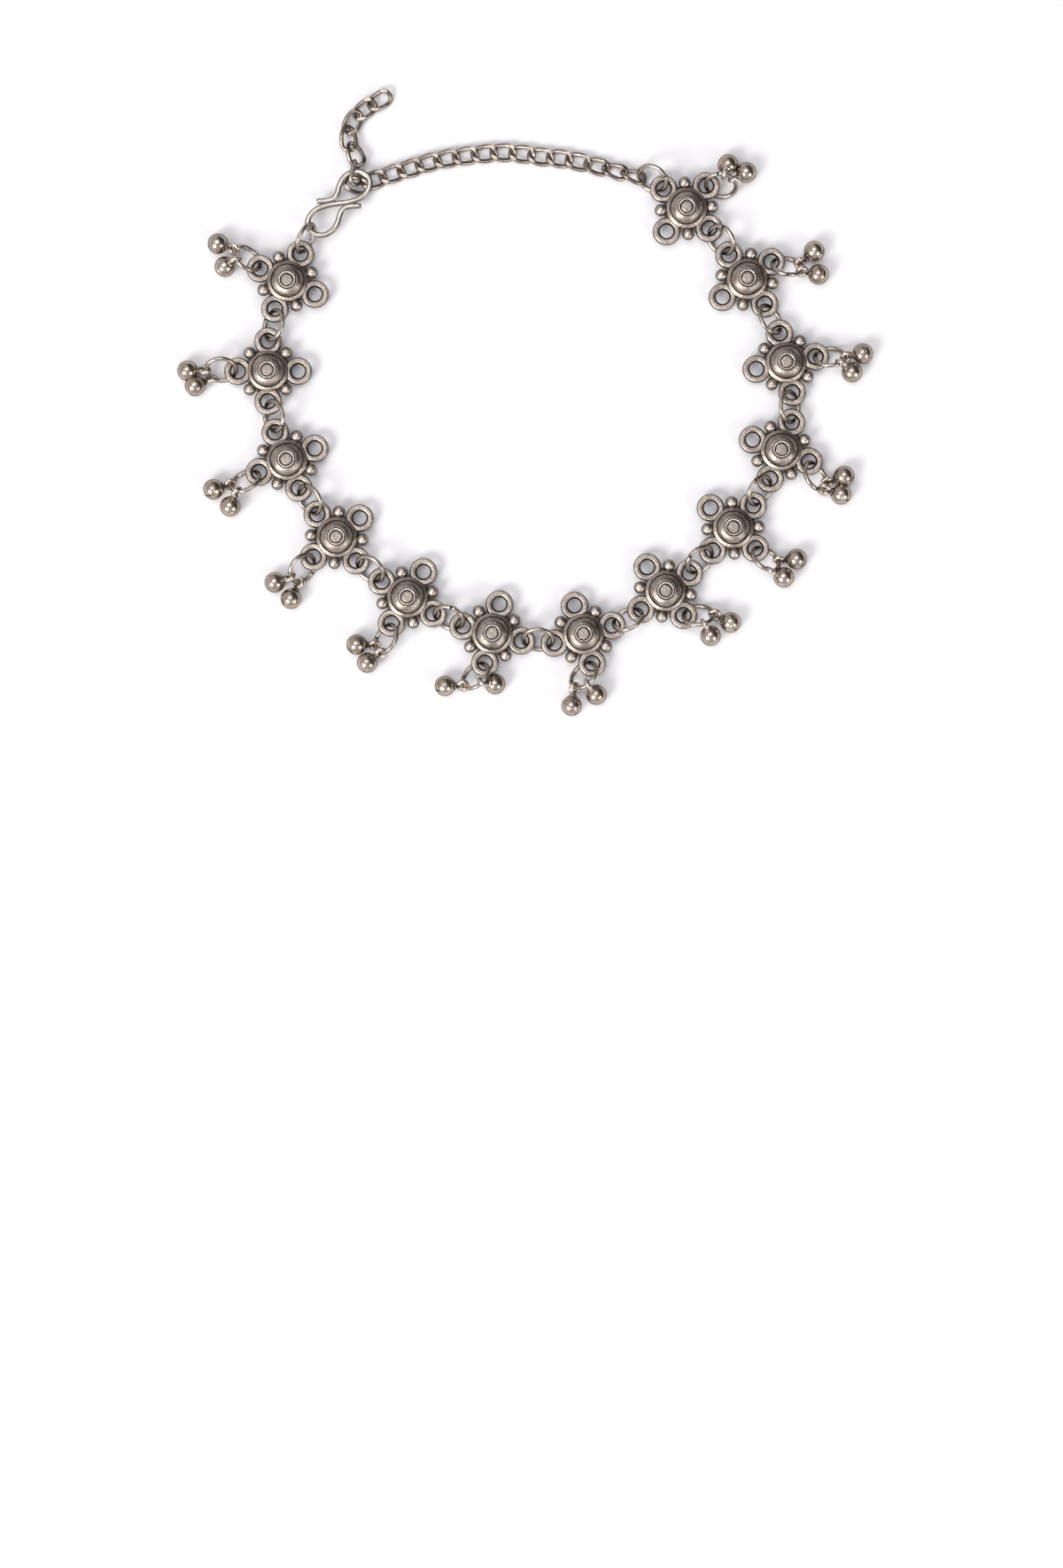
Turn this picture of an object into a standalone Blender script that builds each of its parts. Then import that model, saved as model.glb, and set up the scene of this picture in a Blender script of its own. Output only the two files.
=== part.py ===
"""A payal anklet of white metal: thirteen cast rosettes, their jump rings and bell drops,
an S-shaped hook and a curb chain with a free tail. It lies flat, metres, +Z up."""

import math
from collections import namedtuple

import bmesh
import bpy
from mathutils import Matrix, Vector

# Jump rings, all of one wire
RING_WIRE_R = 0.00032
RING_MID_R = 0.00262
RING_LEAN = math.radians(50)
RING_SIDES = 10
RING_WIRE_SIDES = 5

# A ring's wire slants through a loop, so its middle stays this much further off the hole's edge
# than its own radius. Soldered metal runs this far into its neighbour.
SLANT_CLEARANCE = 0.00054
FUSE = 0.00012

# Points closer than this are one, and faces that turn less than this are one face
WELD = 0.00003
CHAIN_WELD = 0.00008
FLAT_ANGLE = math.radians(1.5)
SHARP_ANGLE = math.radians(50)

# Rosette, one casting with a flat back
LOOP_HOLE_R = 0.00122
LOOP_BAND_W = 0.00115
LOOP_CREST = 0.00012
LOOP_H = 0.00080
LOOP_REACH = 0.00526
BACK_Z = 0.00145
PLATE_R = 0.00390
DOME_FOOT_R = 0.00340
DOME_TOP_R = 0.00135
DOME_FOOT_H = 0.00130
DOME_H = 0.00280
GRANULE_R = 0.00104
GRANULE_H = 0.00140
GRANULE_SHOULDER_R = 0.00088
GRANULE_SHOULDER_H = 0.00091
GRANULE_REACH = 0.00450
LOOPS = 4
LOOP_SIDES = 10
DOME_SIDES = 10
GRANULE_SIDES = 5

# Ghungroo bell and its eye
BELL_R = 0.00178
BELL_SIDES = 10
BELL_BANDS = 5
EYE_WIRE_R = 0.00025
EYE_HOLE_R = 0.00055
EYE_NECK = 0.00032
EYE_REACH = BELL_R + EYE_NECK + EYE_WIRE_R * 2 + EYE_HOLE_R
NECK_TIP = 0.00008
EYE_SIDES = 6
EYE_WIRE_SIDES = 4

# Curb chain. The links next to the last ring and to the hook lie higher and roll towards them.
LINK_LENGTH = 0.00410
LINK_WIDTH = 0.00255
LINK_WIRE_R = 0.00037
LINK_TWIST = 0.00038
LINK_TILT = math.radians(3)
LINK_PITCH = 0.00335
TAIL_PITCH = 0.00310
LINK_SIDES = 10
LINK_WIRE_SIDES = 5
FIRST_LIFT = 0.00070
FIRST_REACH = 0.00095
TAIL_LIFT = 0.00100
TAIL_ROLL = math.radians(25)
HOOK_LINK_ROLL = math.radians(62)
LIFTED_LINKS = 3

# S hook
HOOK_WIRE_R = 0.00035
HOOK_WIRE_SIDES = 5
HOOK_LEAN = math.radians(72)
HOOK_RISE = 0.00030
HOOK_PLAY = 0.00105

# Mid-height of the rosettes' loops, where every ring passes through them
LOOP_Z = BACK_Z + LOOP_H / 2

# How far a ring's wire can lie from the middle of a loop's hole
PLAY = LOOP_HOLE_R - RING_WIRE_R - SLANT_CLEARANCE

# One row for each rosette along the strand: the way its exit loop points, and then the ring
# beyond it: the way it runs, how much of the play it takes up, and the side it leans to
# (1 is left of the walk). The ring beyond the last rosette holds the chain.
Rosette = namedtuple("Rosette", "turn ring_heading stretch lean_side")
ROSETTES = (
    (-115, -102, 0.95, 1),
    (-90, -77, 0.65, 1),
    (-67, -55, 0.75, 1),
    (-50, -39, 1.00, 1),
    (-32, -23, 0.80, 1),
    (-14, -4, 0.95, 1),
    (17, 29, 1.00, -1),
    (37, 44, 0.80, 1),
    (48, 58, 0.65, 1),
    (69, 89, 0.20, 1),
    (102, 117, 0.95, 1),
    (126, 127, 1.00, -1),
    (139, 148, 0.00, -1),
)

# One row for each bell drop, seen from above. The ring's turn is from the rosette's outward
# line, its lean side is 1 for left of that line, and the place and heading of each bell are
# degrees round from the ring's own line, towards the side that leans up.
Drop = namedtuple("Drop", "turn stretch lean_side place_a heading_a place_b heading_b")
DROPS = (
    (-20, 0.8, 1, 8, 26, 60, 68),
    (4, 0.9, -1, 4, 2, -35, -22),
    (4, 0.9, 1, -18, -10, 28, 34),
    (15, 0.6, -1, 18, 37, -22, -8),
    (5, 0.9, 1, -35, -63, 12, -30),
    (-30, 0.7, 1, -5, -45, 90, 127),
    (-60, 0.1, 1, 6, 33, 66, 84),
    (60, 0.1, -1, 2, 32, 66, 66),
    (4, 0.1, -1, -35, -40, 34, -14),
    (-39, 0.8, -1, -35, -78, 0, -45),
    (-6, -0.2, -1, 8, -7, 41, 39),
    (-46, 0.8, -1, -28, -48, 12, -3),
    (-58, 0.0, 1, 83, 79, 31, 42),
)

# Half of the hook's wire, from its middle out round one eye to the free end. The other half
# is the same turned half round.
HOOK_HALF = (
    (0.00000, 0.00000),
    (0.00150, 0.00022),
    (0.00300, 0.00062),
    (0.00435, 0.00135),
    (0.00525, 0.00260),
    (0.00540, 0.00390),
    (0.00485, 0.00492),
    (0.00362, 0.00550),
    (0.00222, 0.00540),
    (0.00090, 0.00452),
    (0.00014, 0.00315),
    (-0.00024, 0.00185),
    (-0.00090, 0.00085),
    (-0.00212, 0.00047),
    (-0.00391, 0.00040),
)
# Where the ring grips the lower eye, as a place on the hook's wire
HOOK_GRIP = (-0.00485, -0.00492)
HOOK_RING_HEADING = 63

# The chain's route, chosen by hand: shares of the straight line from the chain's first link to
# the last one before the hook, and how far to its left as shares of the same line
CHAIN_ROUTE = (
    (0.0, 0.0),
    (0.215, -0.061),
    (0.367, -0.083),
    (0.512, -0.099),
    (0.731, -0.076),
    (0.873, -0.039),
    (1.0, 0.0),
)
# Places from the hook's middle: the last link outside the hook's eye, the link that lies in
# the eye, the link that the eye's wire passes through, and the route of the tail after that
LAST_LINK = (0.00610, 0.00430)
EYE_LINK = (0.00305, 0.00345)
EYE_LINK_HEADING = 164
HOOK_LINK = (0.00290, 0.00535)
HOOK_LINK_HEADING = 92
HOOK_LINK_DROP = 0.00022
TAIL_ROUTE = (
    (0.00285, 0.00865),
    (0.00172, 0.01110),
    (0.00220, 0.01400),
    (0.00420, 0.01640),
    (0.00707, 0.01820),
)


def clear_scene():
    for obj in list(bpy.data.objects):
        bpy.data.objects.remove(obj, do_unlink=True)


def metal(name, colour, roughness):
    """One Principled metal for each kind of piece."""
    material = bpy.data.materials.new(name)
    material.use_nodes = True
    shader = material.node_tree.nodes["Principled BSDF"]
    shader.inputs["Base Color"].default_value = (*colour, 1.0)
    shader.inputs["Metallic"].default_value = 1.0
    shader.inputs["Roughness"].default_value = roughness
    material.diffuse_color = (*colour, 1.0)
    return material


def heading(degrees):
    """The level unit vector that points this way, with its left-hand neighbour."""
    angle = math.radians(degrees)
    ahead = Vector((math.cos(angle), math.sin(angle), 0.0))
    left = Vector((-math.sin(angle), math.cos(angle), 0.0))
    return ahead, left


def sweep(centres, up, section, closed):
    """Vertices and faces of a wire: the section is placed at each centre, square to the run."""
    count = len(centres)
    sides = len(section)
    verts = []
    for index, centre in enumerate(centres):
        before = centres[index - 1] if closed or index > 0 else centre
        after = centres[(index + 1) % count] if closed or index < count - 1 else centre
        run = (after - before).normalized()
        across = run.cross(up).normalized()
        rise = across.cross(run).normalized()
        verts.extend(centre + across * a + rise * b for a, b in section)
    faces = []
    for index in range(count if closed else count - 1):
        this = index * sides
        following = ((index + 1) % count) * sides
        for side in range(sides):
            next_side = (side + 1) % sides
            faces.append((this + side, this + next_side, following + next_side, following + side))
    if not closed:
        faces.append(tuple(reversed(range(sides))))
        faces.append(tuple(range((count - 1) * sides, count * sides)))
    return verts, faces


def round_section(radius, sides, phase=0.0):
    angles = [2 * math.pi * k / sides + phase for k in range(sides)]
    return [(radius * math.cos(a), radius * math.sin(a)) for a in angles]


def circle(radius, sides, phase=0.0):
    return [Vector((x, y, 0.0)) for x, y in round_section(radius, sides, phase)]


def turned(profile, sides, phase=0.0):
    """Vertices and faces of a lathe turned about Z. A profile row is (radius, height), and a
    radius of 0 closes that end in a point."""
    verts = []
    rows = []
    for radius, height in profile:
        if radius == 0:
            rows.append([len(verts)])
            verts.append(Vector((0.0, 0.0, height)))
            continue
        rows.append(list(range(len(verts), len(verts) + sides)))
        verts.extend(Vector((x, y, height)) for x, y in round_section(radius, sides, phase))
    faces = []
    for low, high in zip(rows, rows[1:]):
        for side in range(sides):
            next_side = (side + 1) % sides
            if len(low) == 1:
                faces.append((low[0], high[next_side], high[side]))
            elif len(high) == 1:
                faces.append((low[side], low[next_side], high[0]))
            else:
                faces.append((low[side], low[next_side], high[next_side], high[side]))
    if len(rows[0]) > 1:
        faces.append(tuple(reversed(rows[0])))
    if len(rows[-1]) > 1:
        faces.append(tuple(rows[-1]))
    return verts, faces


def solid(name, shape, matrix=Matrix()):
    """A mesh of one closed shape, moved by the matrix, with its faces pointing out."""
    verts, faces = shape
    mesh = bpy.data.meshes.new(name)
    mesh.from_pydata([matrix @ v for v in verts], [], faces)
    work = bmesh.new()
    work.from_mesh(mesh)
    bmesh.ops.recalc_face_normals(work, faces=work.faces)
    work.to_mesh(mesh)
    work.free()
    return mesh


def moved(mesh, matrix):
    copy = mesh.copy()
    copy.transform(matrix)
    return copy


def fused(name, meshes, weld=WELD):
    """One mesh: the union of meshes that run into each other, as soldered or cast metal."""
    scene = bpy.context.scene
    others = bpy.data.collections.new(name + "_parts")
    base = bpy.data.objects.new(name + "_base", meshes[0])
    scene.collection.objects.link(base)
    for mesh in meshes[1:]:
        others.objects.link(bpy.data.objects.new(name + "_part", mesh))
    scene.collection.children.link(others)
    union = base.modifiers.new("union", "BOOLEAN")
    union.operation = "UNION"
    union.solver = "EXACT"
    union.operand_type = "COLLECTION"
    union.collection = others
    bpy.context.view_layer.update()
    depsgraph = bpy.context.evaluated_depsgraph_get()
    result = bpy.data.meshes.new_from_object(base.evaluated_get(depsgraph))
    result.name = name
    work = bmesh.new()
    work.from_mesh(result)
    bmesh.ops.remove_doubles(work, verts=work.verts, dist=weld)
    bmesh.ops.dissolve_limit(work, angle_limit=FLAT_ANGLE, verts=work.verts, edges=work.edges)
    bmesh.ops.triangulate(work, faces=work.faces)
    work.to_mesh(result)
    work.free()
    for obj in [base, *others.objects]:
        bpy.data.objects.remove(obj, do_unlink=True)
    bpy.data.collections.remove(others)
    return result


def place(name, mesh, material, matrix=Matrix()):
    """The named object of one sub-part."""
    mesh.materials.clear()
    mesh.materials.append(material)
    mesh.shade_smooth()
    mesh.set_sharp_from_angle(angle=SHARP_ANGLE)
    obj = bpy.data.objects.new(name, mesh)
    obj.matrix_world = matrix
    bpy.context.scene.collection.objects.link(obj)
    return obj


class RingPose:
    """Where one leaning jump ring lies: it rests on the surface and leans to one side."""

    def __init__(self, start, start_z, degrees, side, lean):
        self.ahead, left = heading(degrees)
        self.lean = lean
        self.flat = left * side
        self.rise = self.flat * math.cos(lean) + Vector((0.0, 0.0, math.sin(lean)))
        self.centre_z = RING_WIRE_R + RING_MID_R * math.sin(lean)
        self.centre = Vector((0.0, 0.0, self.centre_z))
        near = self.crossing(start_z, -1)
        self.centre += Vector((start.x, start.y, 0.0)) - Vector((near.x, near.y, 0.0))

    def point(self, angle):
        """The point of the wire's middle line this far round from the ring's far end."""
        return self.centre + (self.ahead * math.cos(angle) + self.rise * math.sin(angle)) * RING_MID_R

    def crossing(self, z, end):
        """Where the wire passes through the height z: end is 1 for the far end, -1 for the near."""
        sine = (z - self.centre_z) / (RING_MID_R * math.sin(self.lean))
        angle = math.asin(sine)
        return self.point(angle if end > 0 else math.pi - angle)

    def matrix(self):
        normal = self.ahead.cross(self.rise)
        turn = Matrix((self.ahead, self.rise, normal)).transposed().to_4x4()
        return Matrix.Translation(self.centre) @ turn


def ring_mesh(name):
    section = round_section(RING_WIRE_R, RING_WIRE_SIDES)
    return solid(name, sweep(circle(RING_MID_R, RING_SIDES), Vector((0, 0, 1)), section, True))


def loop_section():
    """A loop's band: a flat back, and a crest nearer to the outer rim."""
    half_band = LOOP_BAND_W / 2
    half_h = LOOP_H / 2
    return [(half_band, -half_h), (LOOP_CREST, half_h), (-half_band, -half_h)]


def rosette_mesh():
    """The casting, its back at BACK_Z, its first loop pointing along +X."""
    dome = turned(
        (
            (PLATE_R, 0.0),
            (DOME_FOOT_R, DOME_FOOT_H),
            (DOME_TOP_R, DOME_H),
        ),
        DOME_SIDES,
        math.pi / DOME_SIDES,
    )
    back = Matrix.Translation((0, 0, BACK_Z))
    meshes = [solid("rosette_dome", dome, back)]
    loop = sweep(
        circle(LOOP_HOLE_R + LOOP_BAND_W / 2, LOOP_SIDES),
        Vector((0, 0, 1)),
        loop_section(),
        True,
    )
    granule = turned(
        (
            (GRANULE_R, 0.0),
            (GRANULE_SHOULDER_R, GRANULE_SHOULDER_H),
            (0.0, GRANULE_H),
        ),
        GRANULE_SIDES,
    )
    for index in range(LOOPS):
        turn = Matrix.Rotation(2 * math.pi * index / LOOPS, 4, "Z")
        half_turn = Matrix.Rotation(2 * math.pi * (index + 0.5) / LOOPS, 4, "Z")
        loop_place = turn @ Matrix.Translation((LOOP_REACH, 0, LOOP_Z))
        meshes.append(solid("rosette_loop", loop, loop_place))
        granule_place = half_turn @ Matrix.Translation((GRANULE_REACH, 0, BACK_Z))
        meshes.append(solid("rosette_granule", granule, granule_place))
    return fused("rosette", meshes)


def bell_mesh():
    """A bell with its eye, the bell's centre at the origin and the eye along +Z. The eye's hole
    opens along Y."""
    eye_mid_r = EYE_HOLE_R + EYE_WIRE_R
    top = EYE_REACH - eye_mid_r + NECK_TIP
    profile = [(0.0, -BELL_R)]
    for step in range(1, BELL_BANDS):
        angle = math.pi * step / BELL_BANDS
        profile.append((BELL_R * math.sin(angle), -BELL_R * math.cos(angle)))
    profile.append((0.0, top))
    ball = solid("bell_ball", turned(profile, BELL_SIDES))
    section = round_section(EYE_WIRE_R, EYE_WIRE_SIDES)
    ring = sweep(circle(eye_mid_r, EYE_SIDES, math.pi / EYE_SIDES), Vector((0, 0, 1)), section, True)
    upright = Matrix.Translation((0, 0, EYE_REACH)) @ Matrix.Rotation(math.pi / 2, 4, "X")
    return fused("bell", [ball, solid("bell_eye", ring, upright)])


def bell_matrix(ring, place_degrees, heading_degrees, side):
    """The bell rests on the surface, and its eye is threaded on the ring's wire."""
    plan = math.radians(place_degrees)
    angle = math.atan2(math.sin(plan) / math.cos(ring.lean), math.cos(plan))
    wire = ring.point(angle)
    wire_run = ring.rise * math.cos(angle) - ring.ahead * math.sin(angle)
    reach = EYE_REACH + EYE_HOLE_R - RING_WIRE_R + FUSE
    drop = wire.z - BELL_R
    level = math.sqrt(reach * reach - drop * drop)
    way = math.atan2(ring.ahead.y, ring.ahead.x) + side * math.radians(heading_degrees)
    centre = Vector((wire.x + level * math.cos(way), wire.y + level * math.sin(way), BELL_R))
    axis = (wire - centre).normalized()
    opening = (wire_run - axis * wire_run.dot(axis)).normalized()
    across = opening.cross(axis)
    turn = Matrix((across, opening, axis)).transposed().to_4x4()
    return Matrix.Translation(centre) @ turn


def smooth_route(points, samples=24):
    """A smooth curve through the route's points."""
    ends = [points[0] * 2 - points[1], *points, points[-1] * 2 - points[-2]]
    curve = []
    for index in range(1, len(ends) - 2):
        before, start, end, after = ends[index - 1:index + 3]
        for step in range(samples):
            t = step / samples
            bend = before * -1 + start * 3 - end * 3 + after
            pull = before * 2 - start * 5 + end * 4 - after
            curve.append((start * 2 + (end - before) * t + pull * t * t + bend * t * t * t) / 2)
    curve.append(points[-1].copy())
    return curve


def even_points(curve, pitch):
    """Points along the curve at a pitch that divides it evenly, near the one asked for."""
    lengths = [(b - a).length for a, b in zip(curve, curve[1:])]
    total = sum(lengths)
    count = max(1, round(total / pitch))
    points = [curve[0].copy()]
    walked = 0.0
    index = 0
    for step in range(1, count):
        goal = total * step / count
        while walked + lengths[index] < goal:
            walked += lengths[index]
            index += 1
        share = (goal - walked) / lengths[index]
        points.append(curve[index].lerp(curve[index + 1], share))
    points.append(curve[-1].copy())
    return points


def link_mesh(centre, ahead, roll):
    """One twisted curb link: it crosses over its neighbour on one side and under it on the other."""
    left = Vector((0, 0, 1)).cross(ahead).normalized()
    ahead = Matrix.Rotation(-LINK_TILT, 3, left) @ ahead
    up = ahead.cross(left).normalized()
    across = left * math.cos(roll) + up * math.sin(roll)
    normal = ahead.cross(across)
    centres = []
    for index in range(LINK_SIDES):
        angle = 2 * math.pi * (index + 0.5) / LINK_SIDES
        centres.append(
            centre
            + ahead * (LINK_LENGTH / 2 * math.cos(angle))
            + across * (LINK_WIDTH / 2 * math.sin(angle))
            + normal * (LINK_TWIST * math.sin(2 * angle))
        )
    section = round_section(LINK_WIRE_R, LINK_WIRE_SIDES)
    return solid("link", sweep(centres, normal, section, True))


def build_strand(metals):
    """The rosettes and the jump rings between them, in their order along the strand. It gives
    the first rosette's free loop and the ring at the far end."""
    rosette = rosette_mesh()
    ring_shape = ring_mesh("jump_ring")
    centre = Vector((0.0, 0.0, 0.0))
    entry_loop = None
    ring = None
    for index, row in enumerate(ROSETTES):
        turn, ring_heading, stretch, side = Rosette(*row)
        out, _ = heading(turn)
        if index == 0:
            entry_loop = centre - out * LOOP_REACH
        else:
            centre = entry + out * LOOP_REACH
        number = "%02d" % (index + 1)
        turn_matrix = Matrix.Translation(centre) @ Matrix.Rotation(math.radians(turn), 4, "Z")
        place("rosette_" + number, rosette.copy(), metals["rosette"], turn_matrix)
        build_drop(number, centre, turn - 90, DROPS[index], metals)
        ahead, _ = heading(ring_heading)
        start = centre + out * LOOP_REACH + ahead * (PLAY * stretch)
        ring = RingPose(start, LOOP_Z, ring_heading, side, RING_LEAN)
        last = index == len(ROSETTES) - 1
        name = "chain_ring" if last else "link_ring_" + number
        place(name, ring_shape.copy(), metals["ring"], ring.matrix())
        far = ring.crossing(LOOP_Z, 1)
        entry = Vector((far.x, far.y, 0.0)) + ahead * (PLAY * stretch)
    return entry_loop, ring


def build_drop(number, centre, outward, row, metals):
    """A jump ring through the outer loop, with its two bells."""
    turn, stretch, side, place_a, heading_a, place_b, heading_b = Drop(*row)
    out, _ = heading(outward)
    ahead, _ = heading(outward + turn)
    start = centre + out * LOOP_REACH + ahead * (PLAY * stretch)
    ring = RingPose(start, LOOP_Z, outward + turn, side, RING_LEAN)
    bell = bell_mesh()
    meshes = [moved(ring_mesh("drop_ring"), ring.matrix())]
    for place_degrees, heading_degrees in ((place_a, heading_a), (place_b, heading_b)):
        meshes.append(moved(bell, bell_matrix(ring, place_degrees, heading_degrees, side)))
    place("bell_drop_" + number, fused("bell_drop", meshes), metals["bell"])


def build_hook(entry_loop, metals):
    """The hook and the ring that ties its lower eye to the first rosette. It gives the place
    of the hook's middle."""
    ahead, _ = heading(HOOK_RING_HEADING)
    hook_z = LOOP_Z + HOOK_RISE
    start = entry_loop + ahead * PLAY
    ring = RingPose(start, LOOP_Z, HOOK_RING_HEADING, 1, HOOK_LEAN)
    place("hook_ring", ring_mesh("hook_ring"), metals["ring"], ring.matrix())
    grip = ring.crossing(hook_z, 1) - ahead * HOOK_PLAY
    middle = Vector((grip.x - HOOK_GRIP[0], grip.y - HOOK_GRIP[1], hook_z))
    half = [Vector((x, y, 0.0)) for x, y in HOOK_HALF]
    wire = [middle - point for point in reversed(half[1:])] + [middle + point for point in half]
    section = round_section(HOOK_WIRE_R, HOOK_WIRE_SIDES)
    shape = sweep(wire, Vector((0, 0, 1)), section, False)
    place("s_hook", solid("s_hook", shape), metals["hook"])
    return middle


def chain_links(ring, hook_middle):
    """The middle, heading and roll of every link, from the last ring to the tail's end."""
    flat_z = LINK_WIRE_R + LINK_TWIST
    ring_roll = math.pi / 2 - RING_LEAN
    hook = Vector((hook_middle.x, hook_middle.y, 0.0))
    grip = ring.crossing(flat_z + FIRST_LIFT, 1)
    grip.z = 0.0
    last = hook + Vector((*LAST_LINK, 0.0))
    first = grip + (last - grip).normalized() * FIRST_REACH
    run = last - first
    left = Vector((-run.y, run.x, 0.0))
    route = [first + run * along + left * aside for along, aside in CHAIN_ROUTE]
    main = even_points(smooth_route(route), LINK_PITCH)
    tail = even_points(
        smooth_route([hook + Vector((x, y, 0.0)) for x, y in TAIL_ROUTE]),
        TAIL_PITCH,
    )
    rows = []
    for stretch, lift, end_roll in ((main, FIRST_LIFT, ring_roll), (tail, TAIL_LIFT, TAIL_ROLL)):
        for index, centre in enumerate(stretch):
            before = stretch[max(index - 1, 0)]
            after = stretch[min(index + 1, len(stretch) - 1)]
            lifted = max(0.0, 1 - index / LIFTED_LINKS)
            at = Vector((centre.x, centre.y, flat_z + lift * lifted))
            rows.append((at, (after - before).normalized(), end_roll * lifted))
    hook_link = hook + Vector((*HOOK_LINK, hook_middle.z - HOOK_LINK_DROP))
    eye_link = hook + Vector((*EYE_LINK, flat_z))
    rows[len(main):len(main)] = [
        (eye_link, heading(EYE_LINK_HEADING)[0], 0.0),
        (hook_link, heading(HOOK_LINK_HEADING)[0], HOOK_LINK_ROLL),
    ]
    return rows


def build_chain(ring, hook_middle, metals):
    """The curb chain from the last ring to the hook, and its free tail."""
    links = [link_mesh(at, ahead, roll) for at, ahead, roll in chain_links(ring, hook_middle)]
    place("curb_chain", fused("curb_chain", links, CHAIN_WELD), metals["chain"])


def centre_on_floor():
    """The box's centre goes to the origin, and its underside to the floor."""
    bpy.context.view_layer.update()
    objects = list(bpy.data.objects)
    corners = [obj.matrix_world @ vert.co for obj in objects for vert in obj.data.vertices]
    low = Vector(min(c[axis] for c in corners) for axis in range(3))
    high = Vector(max(c[axis] for c in corners) for axis in range(3))
    shift = Vector((-(low.x + high.x) / 2, -(low.y + high.y) / 2, -low.z))
    for obj in objects:
        obj.matrix_world = Matrix.Translation(shift) @ obj.matrix_world


def main():
    clear_scene()
    metals = {
        "rosette": metal("antique_silver", (0.42, 0.37, 0.31), 0.38),
        "ring": metal("bright_wire", (0.60, 0.56, 0.51), 0.25),
        "bell": metal("polished_nickel", (0.50, 0.43, 0.37), 0.20),
        "hook": metal("pale_wire", (0.62, 0.59, 0.54), 0.28),
        "chain": metal("brown_nickel", (0.40, 0.34, 0.29), 0.30),
    }
    entry_loop, chain_ring = build_strand(metals)
    hook_middle = build_hook(entry_loop, metals)
    build_chain(chain_ring, hook_middle, metals)
    centre_on_floor()


main()
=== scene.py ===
import math
from collections import namedtuple

import bmesh
import bpy
import numpy as np
from mathutils import Matrix, Vector


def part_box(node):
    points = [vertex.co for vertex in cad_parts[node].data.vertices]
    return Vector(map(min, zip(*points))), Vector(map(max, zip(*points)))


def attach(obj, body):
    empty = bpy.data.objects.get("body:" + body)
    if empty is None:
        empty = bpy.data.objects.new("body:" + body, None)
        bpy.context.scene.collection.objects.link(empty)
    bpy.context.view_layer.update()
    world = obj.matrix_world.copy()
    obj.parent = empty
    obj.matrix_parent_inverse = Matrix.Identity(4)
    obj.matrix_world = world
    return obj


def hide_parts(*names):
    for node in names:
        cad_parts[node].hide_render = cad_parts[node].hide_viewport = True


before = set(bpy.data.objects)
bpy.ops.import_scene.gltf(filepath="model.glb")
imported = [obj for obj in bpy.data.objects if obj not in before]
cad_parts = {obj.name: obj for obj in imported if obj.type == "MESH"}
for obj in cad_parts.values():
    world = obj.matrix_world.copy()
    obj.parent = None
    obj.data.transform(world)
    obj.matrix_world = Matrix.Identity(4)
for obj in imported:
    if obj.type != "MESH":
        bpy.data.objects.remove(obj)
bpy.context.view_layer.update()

MM = 0.001

# The same named values as the part's own source, in metres and radians
RING_WIRE_R = 0.00032
RING_MID_R = 0.00262
RING_LEAN = math.radians(50)
SLANT_CLEARANCE = 0.00054
LOOP_HOLE_R = 0.00122
LOOP_BAND_W = 0.00115
LOOP_H = 0.00080
LOOP_REACH = 0.00526
BACK_Z = 0.00145
GRANULE_REACH = 0.00450
BELL_R = 0.00178
EYE_WIRE_R = 0.00025
EYE_HOLE_R = 0.00055
EYE_REACH = 0.00315
LINK_LENGTH = 0.00410
LINK_WIDTH = 0.00255
LINK_WIRE_R = 0.00037
LINK_TWIST = 0.00038
LINK_TILT = math.radians(3)
LINK_PITCH = 0.00335
TAIL_PITCH = 0.00310
FIRST_LIFT = 0.00070
FIRST_REACH = 0.00095
TAIL_LIFT = 0.00100
TAIL_ROLL = math.radians(25)
HOOK_LINK_ROLL = math.radians(62)
LIFTED_LINKS = 3
HOOK_LEAN = math.radians(72)
HOOK_RISE = 0.00030
HOOK_PLAY = 0.00105
LOOP_Z = BACK_Z + LOOP_H / 2
PLAY = LOOP_HOLE_R - RING_WIRE_R - SLANT_CLEARANCE

# The wires as they show: a little fuller than the solids, which keep clear of each other
RING_SKIN_R = 0.00038
EYE_SKIN_R = 0.00039
HOOK_SKIN = (0.00048, 0.00034)

# turn, heading of the ring after it, how taut that ring is drawn, the side it leans to
ROSETTES = (
    (-115, -102, 0.95, 1),
    (-90, -77, 0.65, 1),
    (-67, -55, 0.75, 1),
    (-50, -39, 1.00, 1),
    (-32, -23, 0.80, 1),
    (-14, -4, 0.95, 1),
    (17, 29, 1.00, -1),
    (37, 44, 0.80, 1),
    (48, 58, 0.65, 1),
    (69, 89, 0.20, 1),
    (102, 117, 0.95, 1),
    (126, 127, 1.00, -1),
    (139, 148, 0.00, -1),
)
# Angles in degrees: the ring's from the rosette's outward way, the bells' from the ring's own
Drop = namedtuple("Drop", "turn stretch lean_side place_a heading_a place_b heading_b")
DROPS = (
    (-20, 0.8, 1, 8, 26, 60, 68),
    (4, 0.9, -1, 4, 2, -35, -22),
    (4, 0.9, 1, -18, -10, 28, 34),
    (15, 0.6, -1, 18, 37, -22, -8),
    (5, 0.9, 1, -35, -63, 12, -30),
    (-30, 0.7, 1, -5, -45, 90, 127),
    (-60, 0.1, 1, 6, 33, 66, 84),
    (60, 0.1, -1, 2, 32, 66, 66),
    (4, 0.1, -1, -35, -40, 34, -14),
    (-39, 0.8, -1, -35, -78, 0, -45),
    (-6, -0.2, -1, 8, -7, 41, 39),
    (-46, 0.8, -1, -28, -48, 12, -3),
    (-58, 0.0, 1, 83, 79, 31, 42),
)
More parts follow.
